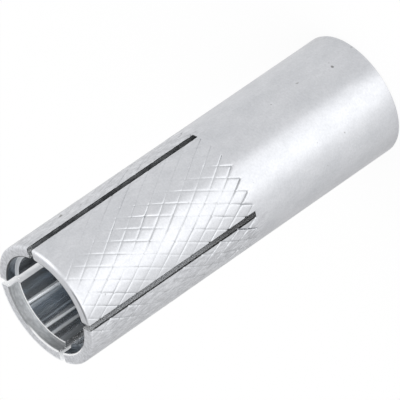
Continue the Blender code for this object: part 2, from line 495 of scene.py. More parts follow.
@dataclass
class Thread:
    """The metric thread in the lower bore, as a height field over turn and height."""

    minor_radius: float = 5.10 * MM
    major_radius: float = 6.00 * MM
    pitch: float = 1.75 * MM
    length: float = 20.0 * MM
    countersink: float = 0.90 * MM
    rows_per_pitch: int = 14
    crest: float = 0.25
    root: float = 0.14
    run_out: float = 2.80 * MM
    over_run_out: float = 0.40 * MM

    def wall(self, turn: Array) -> Array:
        """Return the thread's rings, from its top down to the foot.

        The place along one pitch is z / pitch - turn / (2 pi), without its whole part. The wall
        stands at the crest, goes out along a straight flank to the root, and comes back along
        the other flank. The cone of the countersink cuts it.

        Args:
            turn: Turn of each vertex of a ring.

        Returns:
            Rows of the radius at each turn, with the ring's height last.
        """
        count = round(self.length / self.pitch * self.rows_per_pitch)
        height = np.linspace(self.length, 0.0, count + 1)[:, None]
        place = np.mod(height / self.pitch - turn / (2.0 * pi), 1.0)
        from_crest = np.abs(place - 0.5) * 2.0
        cut = np.clip((1.0 - from_crest - self.crest) / (1.0 - self.crest - self.root), 0.0, 1.0)
        share = 1.0 - smooth_step(self.length - self.run_out, self.length - self.over_run_out,
                                  height)
        radius = self.minor_radius + (self.major_radius - self.minor_radius) * cut * share
        radius = np.maximum(radius, self.minor_radius + self.countersink - height)
        return np.concatenate([radius, height], 1)


@dataclass
class SawCuts:
    """The two saw cuts, not quite at right angles, that part the sleeve's four fingers."""

    sleeve_radius: float
    top: float
    width: float = 0.90 * MM
    length: float = 27.5 * MM
    crossing: float = radians(83.0)
    shift_y: float = -0.307 * MM
    saw_radius: float = 30.0 * MM
    edge_break: float = 0.02 * MM
    ragged: float = 0.040 * MM
    inner_break: float = 0.80 * MM
    broken_within: float = 6.0 * MM
    broken_above: tuple = (43.0 * MM, 44.5 * MM)
    stations: int = 13
    levels: int = 190
    seed: int = 41

    def walls(self, turn: float) -> Array:
        """Return the walls of one cut, as upright rectangles across the sleeve.

        Each one's foot stands on the saw's rim, z = root + R - sqrt(R^2 - x^2). The last ones,
        where the cut comes out, are a little wider and wander by seeded noise, as sawn edges
        do. On one side the cut is wider inside, which breaks the finger's inner edge.

        Args:
            turn: Turn of the cut about the axis.

        Returns:
            Points along one wall and back along the other, (rectangle, level, 3).
        """
        inner = self.sleeve_radius - 4.0 * self.edge_break
        outer = self.sleeve_radius + 2.0 * self.edge_break
        far = self.sleeve_radius + self.width
        along = np.concatenate([[-far, -outer], np.linspace(-inner, inner, self.stations),
                                [outer, far]])[:, None]
        root = self.top - self.length
        foot = root + self.saw_radius - np.sqrt(self.saw_radius ** 2 - along ** 2)
        height = foot + np.linspace(0.0, 1.0, self.levels) * (self.top + self.width - foot)
        broken = (self.inner_break * (np.abs(along) < self.broken_within)
                  * smooth_step(*self.broken_above, height))
        walls = []
        for side in (-1.0, 1.0):
            draw = np.random.default_rng(int(self.seed + 10 * side + 3 * round(turn)))
            rough = draw.normal(size=(2, self.levels))
            rough = (rough + np.roll(rough, 1, 1)) / sqrt(2.0)
            rough = np.repeat(rough, [self.stations // 2 + 2, self.stations // 2 + 3], 0)
            wider = (np.abs(along) > inner) * (2.0 * self.edge_break + self.ragged * rough)
            half = self.width / 2 + wider + (broken if side < 0.0 else 0.0)
            walls.append(np.stack([np.broadcast_to(along, height.shape), side * half, height], -1))
        turning = np.array([[cos(turn), sin(turn), 0.0], [-sin(turn), cos(turn), 0.0],
                            [0.0, 0.0, 1.0]])
        turned = np.concatenate([walls[1], walls[0][:, ::-1]], 1) @ turning
        turned[..., 1] += self.shift_y
        return turned

    def cutter(self, surface: Surface, turn: float, materials: list[Material]) -> Object:
        """Make the closed body that one pass of the saw removes.

        Args:
            surface: The cut's surface, which gives the body its name and its finish.
            turn: Turn of the cut about the axis.
            materials: The sleeve's materials.

        Returns:
            The body.
        """
        builder = MeshBuilder()
        numbers = builder.add_points(self.walls(turn))
        builder.join_rings(numbers[:-1], numbers[1:])
        lower, upper = numbers[:, :self.levels], numbers[:, :self.levels - 1:-1]
        for end, order in ((0, -1), (-1, 1)):
            near, far = lower[end], upper[end]
            corners = np.stack([near[:-1], near[1:], far[1:], far[:-1]], -1)
            builder.quads.append(corners[:, ::order])
        cutter = builder.make(surface.name.lower(), materials)
        indices = np.full(len(cutter.data.polygons), surface.value, np.int32)
        cutter.data.polygons.foreach_set("material_index", indices)
        return cutter

    def cut(self, body: Object) -> None:
        """Cut both slots out of the sleeve and keep the result as its mesh.

        Args:
            body: The sleeve.
        """
        materials = list(body.data.materials)
        cutters = [self.cutter(Surface.FIRST_CUT, self.crossing / 2, materials),
                   self.cutter(Surface.SECOND_CUT, -self.crossing / 2, materials)]
        for cutter in cutters:
            passing = body.modifiers.new(cutter.name, "BOOLEAN")
            passing.operation = "DIFFERENCE"
            passing.solver = "EXACT"
            passing.object = cutter
        graph = bpy.context.evaluated_depsgraph_get()
        cut_mesh = bpy.data.meshes.new_from_object(body.evaluated_get(graph))
        body.modifiers.clear()
        blank, body.data = body.data, cut_mesh
        bpy.data.meshes.remove(blank)
        for cutter in cutters:
            bpy.data.objects.remove(cutter)


@dataclass
class Sleeve:
    """The one-piece sleeve: knurled outside, stepped mouth, threaded foot, four sawn fingers."""

    radius: float
    height: float
    materials: list
    rim_rounding: float = 0.26 * MM
    foot_chamfer: float = 0.40 * MM
    rim_wall: float = 1.45 * MM
    counterbore_depth: float = 1.30 * MM
    mouth_wall: float = 2.00 * MM
    bore_ring: float = 4.50 * MM
    flare_length: float = 6.00 * MM
    waist_length: float = 2.00 * MM
    waist_easing: tuple = (0.4 * MM, 0.9 * MM)
    seat_length: float = 8.50 * MM
    plug_bore_length: float = 6.00 * MM
    edge_round: float = 0.05 * MM
    rim_break: float = 0.16 * MM
    corner: float = 0.02 * MM
    over_thread: float = 0.2 * MM
    knurl_length: float = 26.50 * MM
    shank_rings: tuple = (0.35, 0.70, 0.97, 0.99)
    bore_sides: int = 100
    seat_angle: float = radians(8.0)
    deepest_groove: float = 6.0
    groove_mark: float = 3.0
    thread: Thread = field(default_factory=Thread)

    @property
    def seat_start(self) -> float:
        """Height at which the plug's seat starts to narrow."""
        return self.thread.length + self.plug_bore_length

    @property
    def seat_end(self) -> float:
        """Height of the narrowest part of the bore."""
        return self.seat_start + self.seat_length

    @property
    def waist_radius(self) -> float:
        """Radius of the narrowest part of the bore."""
        return self.thread.minor_radius - self.seat_length * tan(self.seat_angle)

    def rim_outline(self) -> Array:
        """Return the quarter round of the rim as (radius, height), centre + r (cos t, sin t)."""
        bend = np.linspace(0.0, pi / 2, 6)[1:]
        return np.stack([self.radius - self.rim_rounding * (1.0 - np.cos(bend)),
                         self.height - self.rim_rounding * (1.0 - np.sin(bend))], -1)

    def mouth_outline(self) -> Array:
        """Draw the stepped bore from the rim to the top of the thread.

        Returns:
            Its outline as (radius, height).
        """
        counterbore, bore = self.radius - self.rim_wall, self.radius - self.mouth_wall
        floor = self.height - self.counterbore_depth
        waist_top = self.seat_end + self.waist_length
        flare = waist_top + self.flare_length
        edge, soft, waist = self.rim_break, self.edge_round, self.waist_radius
        minor = self.thread.minor_radius
        return np.array([
            (counterbore + edge, self.height),
            (counterbore + SOFTENED * edge, self.height - SOFTENED * edge),
            (counterbore, self.height - edge), (counterbore, self.height - edge - soft),
            (counterbore, floor + self.corner), (counterbore - self.corner, floor),
            (bore + soft, floor), (bore + SOFTENED * soft, floor - SOFTENED * soft),
            (bore, floor - soft), (bore, floor - 2.0 * soft),
            (bore, self.height - self.bore_ring),
            (bore, flare + soft), (bore, flare),
            (waist + self.waist_easing[0], waist_top + self.waist_easing[1]),
            (waist, waist_top), (waist, self.seat_end), (minor, self.seat_start),
            (minor, self.thread.length + self.over_thread),
        ])

    def foot_outline(self) -> Array:
        """Return the outline from the foot's face up the plain shank to under the knurl."""
        chamfer, shank = self.foot_chamfer, self.height - self.knurl_length
        return np.array([(self.radius - chamfer, 0.0),
                         (self.radius - SOFTENED * chamfer, SOFTENED * chamfer),
                         (self.radius, chamfer),
                         *((self.radius, share * shank) for share in self.shank_rings)])

    def build(self) -> Object:
        """Build the sleeve as one closed mesh, saw its slots and mark its surfaces.

        Returns:
            The sleeve.
        """
        builder = MeshBuilder()
        knurl = Knurl(self.radius, self.height - self.knurl_length,
                      self.height - self.rim_rounding)
        low_ring, high_ring = knurl.add_to(builder)
        fine = knurl.side_turns()
        coarse = np.arange(self.bore_sides) * 2.0 * pi / self.bore_sides
        rim = builder.add_rings(self.rim_outline(), fine)
        builder.join_rings(high_ring, rim[0])
        mouth = builder.add_rings(self.mouth_outline(), coarse)
        builder.join_fan(rim[-1], mouth[0], inwards=True)
        thread = builder.add_rings(self.thread.wall(coarse), coarse)
        builder.join_rings(mouth[-1], thread[0])
        foot = builder.add_rings(self.foot_outline(), fine)
        builder.join_fan(foot[0], thread[-1], inwards=False)
        builder.join_rings(foot[-1], low_ring)
        body = builder.make("anchor_sleeve", self.materials)
        self.mark_bore(body)
        SawCuts(self.radius, self.height).cut(body)
        body.data.set_sharp_from_angle(angle=SHARP)
        self.mark_grooves(body, knurl)
        return body

    @staticmethod
    def read(items: object, name: str) -> Array:
        """Return a place that each vertex or each face of a mesh holds.

        Args:
            items: The mesh's vertices or faces.
            name: Name of the property.

        Returns:
            Its x, y and z, one in each row.
        """
        found = np.zeros(len(items) * 3)
        items.foreach_get(name, found)
        return found.reshape(-1, 3).T

    def mark_bore(self, body: Object) -> None:
        """Give the faces inside the bore, and those of the counterbore, their own finishes.

        Args:
            body: The sleeve before it is sawn.
        """
        # The middle of a flat face lies a little nearer to the axis than its corners do.
        x, y, z = self.read(body.data.polygons, "center")
        from_axis, below_rim = np.hypot(x, y), self.height - z
        floor = self.counterbore_depth + self.edge_round
        inside = (from_axis < self.radius - 0.97 * self.mouth_wall) & (below_rim > floor)
        wall = ((from_axis < self.radius - self.rim_wall + self.rim_break)
                & (below_rim > 0.02 * self.rim_break) & (below_rim < floor))
        indices = np.select([inside, wall], [Surface.BORED.value, Surface.COUNTERBORED.value],
                            Surface.TURNED.value).astype(np.int32)
        body.data.polygons.foreach_set("material_index", indices)

    def mark_grooves(self, body: Object, knurl: Knurl) -> None:
        """Store how far down a groove each vertex lies, in depths of a plain groove.

        Args:
            body: The finished sleeve.
            knurl: Its knurl.
        """
        x, y, z = self.read(body.data.vertices, "co")
        sunk = (self.radius - np.hypot(x, y)) / knurl.depths[0]
        in_band = (z > knurl.bottom) & (z < knurl.top) & (sunk < self.deepest_groove)
        mark = np.where(in_band, np.clip(sunk, 0.0, self.groove_mark), 0.0)
        store = body.data.attributes.new("groove", "FLOAT", "POINT")
        store.data.foreach_set("value", mark.astype(np.float32))


@dataclass
class ExpanderPlug:
    """The turned cone that waits in the sleeve for the setting punch.

    A dimple, left by the lathe's centre, is its radius, the radius of its floor and its depth.
    """

    sleeve: Sleeve
    material: Material
    length: float = 13.5 * MM
    nose_setback: float = 0.5 * MM
    clearance: float = 0.3 * MM
    back_chamfer: float = 0.6 * MM
    back_rise: float = 0.15 * MM
    nose_chamfer: float = 0.4 * MM
    back_dimple: tuple = (1.2 * MM, 0.5 * MM, 0.25 * MM)
    nose_dimple: tuple = (0.9 * MM, 0.4 * MM, 0.12 * MM)
    shoulder_easing: tuple = (0.02 * MM, 0.1 * MM)
    sides: int = 96

    def outline(self) -> Array:
        """Draw the plug from the middle of its back to that of its nose.

        Returns:
            Its outline as (radius, height).
        """
        nose = self.sleeve.seat_end - self.nose_setback
        back = nose - self.length
        radius = self.sleeve.thread.minor_radius - self.clearance
        start = self.sleeve.seat_start
        neck = nose - self.nose_chamfer
        tip = radius - (neck - start) * tan(self.sleeve.seat_angle)
        narrower, beside = self.shoulder_easing
        wide, floor, deep = self.back_dimple
        tip_wide, tip_floor, tip_deep = self.nose_dimple
        return np.array([
            (floor, back + deep), (wide, back), (radius - self.back_chamfer, back),
            (radius - SOFTENED * self.back_chamfer, back + self.back_rise),
            (radius, back + self.back_chamfer), (radius, start - beside),
            (radius - narrower, start + beside), (tip, neck),
            (tip - SOFTENED * self.nose_chamfer, nose - SOFTENED * self.nose_chamfer),
            (tip - self.nose_chamfer, nose), (tip_wide, nose), (tip_floor, nose - tip_deep),
        ])

    def build(self) -> Object:
        """Build the plug as one closed mesh of revolution.

        Returns:
            The plug.
        """
        outline = self.outline()
        builder = MeshBuilder()
        rings = builder.add_rings(outline, np.arange(self.sides) * 2.0 * pi / self.sides)
        ends = builder.add_points(np.array([(0.0, 0.0, outline[0, 1]),
                                            (0.0, 0.0, outline[-1, 1])]))
        for ring, middle in ((rings[0][::-1], ends[0]), (rings[-1], ends[1])):
            builder.triangles.append(np.stack([ring, np.roll(ring, -1),
                                               np.full(len(ring), middle)], -1))
        plug = builder.make("turned_plug", [self.material])
        plug.data.set_sharp_from_angle(angle=SHARP)
        return plug


@dataclass(frozen=True)
class Field:
    """A value or a colour at each place of a finish, as one output of a node."""

    nodes: "FinishNodes"
    socket: bpy.types.NodeSocket

    def __add__(self, other: object) -> "Field":
        """Return the sum with a value or another field."""
        return self.nodes.maths("ADD", self, other)

    def __mul__(self, other: object) -> "Field":
        """Return the product with a value or another field."""
        return self.nodes.maths("MULTIPLY", self, other)

    def __or__(self, other: object) -> "Field":
        """Return the larger of this and another field."""
        return self.nodes.maths("MAXIMUM", self, other)

    def __invert__(self) -> "Field":
        """Return 1 less this."""
        return self.nodes.maths("SUBTRACT", 1.0, self)

    def spread(self, low: float, high: float, start: float = 0.0, end: float = 1.0,
               **settings: str) -> "Field":
        """Map the range from low to high to the one from start to end, held at its ends."""
        inputs = {"Value": self, "From Min": low, "From Max": high, "To Min": start, "To Max": end}
        return self.nodes.add("MapRange", "Result", inputs, **settings)

    def mixed(self, first: object, second: object) -> "Field":
        """Return the value between two values, by this share."""
        return self.nodes.add("Mix", 0, {0: self, 2: first, 3: second})

    def blend(self, first: object, second: object) -> "Field":
        """Return the colour between two colours, by this share."""
        return self.nodes.add("Mix", 2, {0: self, 6: first, 7: second}, data_type="RGBA")


class FinishNodes:
    """The node tree of a finish or of the surroundings, with short ways to add its nodes."""

    def __init__(self, owner: bpy.types.ID, kind: str = "Material",
                 shader: str = "BsdfPrincipled", coordinates: str = "Object") -> None:
        """Clear the owner's tree, and join a bare shader to its output.

        Args:
            owner: The material or the world.
            kind: Which of the two the output is for.
            shader: Kind of the shader.
            coordinates: Which coordinates give a point's place.
        """
        owner.use_nodes = True
        self.owner = owner
        self.tree = owner.node_tree
        self.tree.nodes.clear()
        self.coordinates = coordinates
        self.output = self.tree.nodes.new("ShaderNodeOutput" + kind)
        self.shader = self.tree.nodes.new("ShaderNode" + shader)
        self.feed(self.output, {"Surface": Field(self, self.shader.outputs[0])})

    def feed(self, node: bpy.types.Node, inputs: dict) -> None:
        """Link a node's inputs to fields, or set them to values.

        Args:
            node: The node.
            inputs: Fields or values by an input's name or number. A colour gets full cover.
        """
        for name, value in inputs.items():
            socket = node.inputs[name]
            if isinstance(value, Field):
                self.tree.links.new(value.socket, socket)
            else:
                socket.default_value = (*value, 1.0) if socket.type == "RGBA" else value

    def add(self, kind: str, output: object, inputs: dict, **settings: object) -> Field:
        """Add a node, with its properties and inputs.

        Args:
            kind: Kind of the node.
            output: Name or number of the output to return.
            inputs: Fields or values by an input's name or number.
            settings: Values of the node's properties.

        Returns:
            The output.
        """
        node = self.tree.nodes.new("ShaderNode" + kind)
        for name, value in settings.items():
            setattr(node, name, value)
        self.feed(node, inputs)
        return Field(self, node.outputs[output])

    def maths(self, operation: str, first: object, second: object) -> Field:
        """Return an operation on two values."""
        return self.add("Math", 0, {0: first, 1: second}, operation=operation)

    def vector(self, operation: str, first: object, second: tuple = (1.0, 1.0, 0.0),
               output: str = "Vector") -> Field:
        """Return an operation on two vectors, which gives a vector or a value."""
        return self.add("VectorMath", output, {0: first, 1: second}, operation=operation)

    @property
    def place(self) -> Field:
        """The place of each point."""
        return self.add("TexCoord", self.coordinates, {})

    def noise(self, across: float, along: float, detail: float, roughness: float = 0.6) -> Field:
        """Return a noise with so many features in a metre across the axis and along it."""
        scaled = self.add("Mapping", 0, {"Vector": self.place, "Scale": (across, across, along)})
        return self.add("TexNoise", 0, {"Vector": scaled, "Scale": 1.0, "Detail": detail,
                                        "Roughness": roughness})

    def facing(self, turn: float, low: float, high: float, **target: object) -> Field:
        """Return how well a place faces a turn about the axis.

        Args:
            turn: Turn from the camera's side, in degrees.
            low: Cosine of the angle at and beyond which the result is 0.
            high: Cosine of the angle at and within which the result is 1.
            target: What spread takes, where the result isn't a plain share.

        Returns:
            The share.
        """
        outwards = self.vector("NORMALIZE", self.vector("MULTIPLY", self.place))
        towards = self.vector("DOT_PRODUCT", outwards, direction(turn), "Value")
        return towards.spread(low, high, **target)

    def outwards(self, near: float, far: float) -> Field:
        """Return the share of the way from one distance from the axis to another."""
        flat = self.vector("MULTIPLY", self.place)
        return self.vector("LENGTH", flat, output="Value").spread(near, far)

    def upwards(self, low: float, high: float, start: float = 0.0) -> Field:
        """Return the share of the way from one height to another, or the way from start to 1."""
        height = self.add("SeparateXYZ", "Z", {"Vector": self.place})
        return height.spread(low, high, start)

    def scaled(self, colour: object, factor: Field) -> Field:
        """Return a colour multiplied by a value."""
        return self.add("VectorMath", 0, {0: colour, "Scale": factor}, operation="SCALE")

    def draw_along_axis(self, stretch: float) -> None:
        """Draw highlights out along the axis, as marks that run round the steel do."""
        around = self.add("Tangent", 0, {}, direction_type="RADIAL", axis="Z")
        self.feed(self.shader, {"Tangent": around, "Anisotropic": stretch,
                                "Anisotropic Rotation": 0.25})

    def dress(self, colour: Field, roughness: Field, metal: object, relief: Field,
              depth: float, strength: float = 0.6) -> Material:
        """Feed the shader and return the material.

        Args:
            colour: Base colour.
            roughness: Roughness.
            metal: Share of bare metal.
            relief: Height of 0 to 1 that bends the normal.
            depth: Length that the height of 1 stands for.
            strength: Share of the bend.

        Returns:
            The finished material.
        """
        bent = self.add("Bump", "Normal", {"Height": relief, "Distance": depth,
                                           "Strength": strength})
        self.feed(self.shader, {"Base Color": colour, "Roughness": roughness,
                                "Metallic": metal, "Normal": bent})
        return self.owner


@dataclass(frozen=True)
class ZincPlate:
    """Bright zinc on the turned and knurled outside: satin, drawn out along the axis.

    The fields from rim to line_within are where the rim's parts lie: heights, distances from
    the axis, or what facing takes. Depths in a groove are in depths of a plain groove.
    """

    name: str = "zinc_plate"
    light: tuple = (0.634, 0.643, 0.669)
    dull: tuple = (0.584, 0.595, 0.621)
    # Painted shade: the grooves are drawn in this darker colour, and their deepest parts darker
    # still.
    groove: tuple = (0.585, 0.597, 0.621)
    speck: tuple = (0.250, 0.250, 0.250)
    speck_levels: tuple = (0.765, 0.80)
    groove_depths: tuple = (0.25, 0.9)
    shade_depths: tuple = (0.9, 2.6)
    roughness: tuple = (0.30, 0.42)
    stretch: float = 0.60
    grain: float = 0.07
    scuff: float = 0.20
    scored: float = 2.2
    unscuffed: float = 0.12
    calm_side: float = radians(-92.0)
    calm_reach: float = 8.0 * MM
    calm_from: tuple = (0.60, 0.80)
    scuffed_from: tuple = (21.0 * MM, 24.0 * MM)
    deepest_shade: float = 0.78
    side: tuple = (30.0, 0.86, 0.97)
    side_from: tuple = (22.5 * MM, 25.0 * MM)
    # A little lighter on this side of the knurled band.
    side_tone: float = 1.03
    rim: tuple = (49.62 * MM, 49.78 * MM)
    rounding: tuple = (7.58 * MM, 7.72 * MM)
    calm_rounding: tuple = (-45.0, 0.30, 0.62)
    upper_rounding: tuple = (94.0, 0.60, 0.75)
    far_rounding: tuple = (188.0, 0.60, 0.75)
    line: tuple = (-18.0, 0.950, 0.985)
    line_within: tuple = (7.86 * MM, 7.95 * MM)
    # Painted light on the rim: the face's lift, the rounding's highlights and the shade line's
    # tone.
    face: float = 1.07
    calm: float = 1.04
    rounding_highlight: float = 1.42
    dimmer_light: float = 1.16
    far_rounding_highlight: float = 1.56
    shade_line_tone: float = 0.46
    relief: float = 0.012 * MM

    def rim_factor(self, nodes: FinishNodes) -> Field:
        """Return the factor on the colour at the rim, and 1 below it.

        The rounding has painted highlights, weaker at the lower right of the picture, and a
        painted shadow line on the camera's side. The flat face is painted a little lighter.

        Args:
            nodes: The finish's nodes.

        Returns:
            The factor.
        """
        # Painted highlight on the rounding, and a painted shadow line at its outer edge.
        rounding_highlight = nodes.facing(*self.upper_rounding).mixed(self.rounding_highlight, self.dimmer_light)
        rounding_highlight = nodes.facing(*self.far_rounding).mixed(rounding_highlight, self.far_rounding_highlight)
        rounding = nodes.facing(*self.calm_rounding).mixed(rounding_highlight, self.calm)
        line = nodes.facing(*self.line) * ~nodes.outwards(*self.line_within)
        rounding = rounding * line.spread(0.0, 1.0, 1.0, self.shade_line_tone)
        factor = nodes.outwards(*self.rounding).mixed(self.face, rounding)
        return nodes.upwards(*self.rim).mixed(1.0, factor)

    def scuffing(self, nodes: FinishNodes) -> Field:
        """Return how much scuffing a place has: little on the shank and on the calm side's finger.

        Args:
            nodes: The finish's nodes.

        Returns:
            A share of full scuffing.
        """
        calm = (cos(self.calm_side) / self.calm_reach,
                sin(self.calm_side) / self.calm_reach, 0.0)
        side = nodes.vector("DOT_PRODUCT", nodes.place, calm, "Value")
        return (side.spread(*self.calm_from, 1.0, self.unscuffed)
                * nodes.upwards(*self.scuffed_from, self.unscuffed))

    def make(self) -> Material:
        """Make the plate, with mottling, faint lathe lines, painted shade in the grooves and a few
        specks.

        Returns:
            The material.
        """
        nodes = FinishNodes(bpy.data.materials.new(self.name))
        mottle = nodes.noise(420.0, 300.0, 4.0, 0.62)
        grain = nodes.noise(2600.0, 1500.0, 3.0)
        lathe = nodes.noise(120.0, 9000.0, 2.0, 0.5)
        dots = nodes.noise(900.0, 800.0, 1.0, 0.4)
        satin = nodes.noise(3600.0, 4600.0, 2.0, 0.7)
        scratches = nodes.noise(2600.0, 900.0, 3.0, 0.7)
        scuffing = self.scuffing(nodes)
        sunk = nodes.add("Attribute", "Fac", {}, attribute_name="groove")
        plain = mottle.spread(0.34, 0.66).blend(self.light, self.dull)
        spotted = dots.spread(*self.speck_levels).blend(plain, self.speck)
        # Painted shade in the grooves, by how deep each place lies; the deepest are darkened below.
        knurled = sunk.spread(*self.groove_depths).blend(spotted, self.groove)
        uneven = scratches.spread(0.32, 0.68, -self.scuff, self.scuff) * scuffing
        tone = satin.spread(0.25, 0.75, 1.0 - self.grain, 1.0 + self.grain) + uneven
        tone = tone * self.rim_factor(nodes) * sunk.spread(*self.shade_depths, 1.0, self.deepest_shade)
        on_side = nodes.facing(*self.side) * nodes.upwards(*self.side_from)
        tone = tone * on_side.mixed(1.0, self.side_tone)
        nodes.draw_along_axis(self.stretch)
        return nodes.dress(nodes.scaled(knurled, tone),
                           (mottle + grain).spread(0.7, 1.3, *self.roughness), 1.0,
                           grain * 0.6 + lathe * 0.4 + scratches * (scuffing * self.scored),
                           self.relief, 0.7)


@dataclass(frozen=True)
class BoredZinc:
    """Zinc on the bored inside: smoother and bluer, and darkened deep in the bore as painted shade.

    A strip is a turn in degrees, its half width with and without its soft edge, and a share.
    """

    name: str = "bored_zinc"
    light: tuple = (0.900, 0.940, 0.980)
    dull: tuple = (0.800, 0.842, 0.885)
    # Painted shade: the colour deep in the bore.
    deep: tuple = (0.320, 0.352, 0.384)
    # Heights over which the bore turns from the painted shade below to plain plated zinc.
    plated: tuple = (43.0 * MM, 46.0 * MM)
    streak: float = 0.18
    metal: float = 0.90
    roughness: tuple = (0.07, 0.12)
    stretch: float = 0.85
    # Painted shade: this side of the bore and the upper finger are drawn darker, and rougher.
    side_shade_place: tuple = (229.5, 0.986, 0.995)
    side_shade: float = 0.50
    dulled_roughness: float = 0.34
    upper: float = 0.36
    upper_roughness: float = 0.17
    # Painted highlight: a near-white, hardly metallic colour for the strips below.
    painted_streak: tuple = (0.950, 0.970, 1.000)
    painted_streak_metal: float = 0.10
    strips: tuple = ((164.9, 1.8, 0.7, 0.50), (172.0, 3.0, 1.5, 0.16), (200.2, 2.0, 0.8, 1.00),
                     (211.2, 2.8, 0.9, 0.62))
    relief: float = 0.006 * MM

    def strip_share(self, nodes: FinishNodes) -> Field:
        """Return how far a place lies in one of the painted highlight strips that run down the
        bore.

        Args:
            nodes: The finish's nodes.

        Returns:
            The share of painted highlight on it.
        """
        total = 0.0
        for turn, far, near, share in self.strips:
            strip = nodes.facing(turn, cos(radians(far)), cos(radians(near)))
            total = strip * share + total
        return total

    def make(self) -> Material:
        """Make the zinc, with rings, streaky tone, painted highlight strips down the bore, and
        painted shade.

        Returns:
            The material.
        """
        nodes = FinishNodes(bpy.data.materials.new(self.name))
        mottle = nodes.noise(500.0, 350.0, 4.0)
        rings = nodes.noise(60.0, 5200.0, 2.0, 0.5)
        drawn = nodes.noise(1500.0, 90.0, 3.0)
        plated = mottle.spread(0.35, 0.68).blend(self.light, self.dull)
        # Painted shade on one side of the bore and on the upper finger, over random streaky tone.
        side_shade, upper = nodes.facing(*self.side_shade_place), nodes.facing(*UPPER_FINGER)
        streaks_and_shade = (drawn.spread(0.35, 0.65, 1.0 - self.streak, 1.0 + self.streak)
                   * side_shade.mixed(1.0, self.side_shade) * upper.mixed(1.0, self.upper))
        wall = nodes.scaled(nodes.upwards(*self.plated).blend(self.deep, plated), streaks_and_shade)
        # Painted highlight strips down the bore.
        strip = self.strip_share(nodes)
        rough = side_shade.mixed(mottle.spread(0.3, 0.7, *self.roughness), self.dulled_roughness)
        nodes.draw_along_axis(self.stretch)
        return nodes.dress(strip.blend(wall, self.painted_streak), upper.mixed(rough, self.upper_roughness),
                           strip.mixed(self.metal, self.painted_streak_metal), rings, self.relief)


@dataclass(frozen=True)
class CounterboredZinc:
    """Zinc in the counterbore: a matte wall painted light on the far finger, and smooth ones beside
    it painted dark as shade.

    The shoulder is painted light on the upper finger, and elsewhere only its inner edge is, as a
    painted highlight.
    """

    name: str = "counterbored_zinc"
    # Painted light: the far finger's wall in these two tones, with marks between them.
    scuffed_lit: tuple = (0.630, 0.645, 0.660)
    dimmer_light: tuple = (0.450, 0.466, 0.482)
    # Painted shade: the dark colour of the other walls.
    smooth: tuple = (0.130, 0.150, 0.172)
    # Painted highlight at the shoulder's inner edge and on the rim's edge; painted light on the
    # upper shoulder.
    bright: tuple = (0.900, 0.905, 0.910)
    shoulder: tuple = (0.680, 0.700, 0.725)
    # Painted shadow line under the rim, and a fainter one on the far side.
    edge: tuple = (0.060, 0.064, 0.068)
    half_shaded_edge: tuple = (0.270, 0.279, 0.288)
    low_share: float = 0.42
    low_end: tuple = (255.0, 0.55, 0.85)
    half_shaded_side: tuple = (190.0, 0.58, 0.62)
    bright_side: tuple = (237.0, 0.60, 0.75)
    inner_line: tuple = (6.10 * MM, 6.20 * MM)
    wall_heights: tuple = (48.72 * MM, 48.76 * MM)
    edge_heights: tuple = (49.83 * MM, 49.86 * MM)
    roughness: tuple = (0.30, 0.55)
    metal: tuple = (0.80, 0.45)
    relief: float = 0.012 * MM

    def wall(self, nodes: FinishNodes, marks: Field, far_finger: Field) -> Field:
        """Return the colour of the wall: painted light on the far finger, darker towards its lower
        end, and painted shade on the others.

        Args:
            nodes: The finish's nodes.
            marks: Noise of the tool's marks.
            far_finger: Share of the far finger.

        Returns:
            The colour.
        """
        matte = marks.spread(0.36, 0.64).blend(self.scuffed_lit, self.dimmer_light)
        fading = nodes.facing(*self.low_end, end=1.0 - self.low_share, start=1.0)
        smooth = nodes.scaled(self.smooth, marks.spread(0.36, 0.64, 0.7, 1.5))
        return far_finger.blend(smooth, nodes.scaled(matte, fading))

    def make(self) -> Material:
        """Make the zinc, whose edge under the rim is a painted shadow line, fainter on the far
        side, then a painted highlight.

        Returns:
            The material.
        """
        nodes = FinishNodes(bpy.data.materials.new(self.name))
        marks = nodes.noise(1500.0, 3200.0, 3.0)
        far_finger, upper = nodes.facing(*FAR_FINGER), nodes.facing(*UPPER_FINGER)
        wall = self.wall(nodes, marks, far_finger)
        inner_line = ~nodes.outwards(*self.inner_line) * ~nodes.facing(*LOWER_FINGER)
        # Painted highlight at the shoulder's inner edge, and painted light on the upper finger's
        # shoulder.
        shoulder = upper.blend(inner_line.blend(wall, self.bright), self.shoulder)
        on_wall = nodes.upwards(*self.wall_heights)
        at_edge = nodes.upwards(*self.edge_heights)
        # Painted shadow line under the rim, fainter on the far side, then a painted highlight.
        edge = nodes.facing(*self.half_shaded_side).blend(self.edge, self.half_shaded_edge)
        edge = nodes.facing(*self.bright_side).blend(edge, self.bright)
        matte = far_finger | upper * ~on_wall | at_edge
        return nodes.dress(at_edge.blend(on_wall.blend(shoulder, wall), edge),
                           matte.spread(0.0, 1.0, *self.roughness),
                           matte.spread(0.0, 1.0, *self.metal), marks, self.relief)


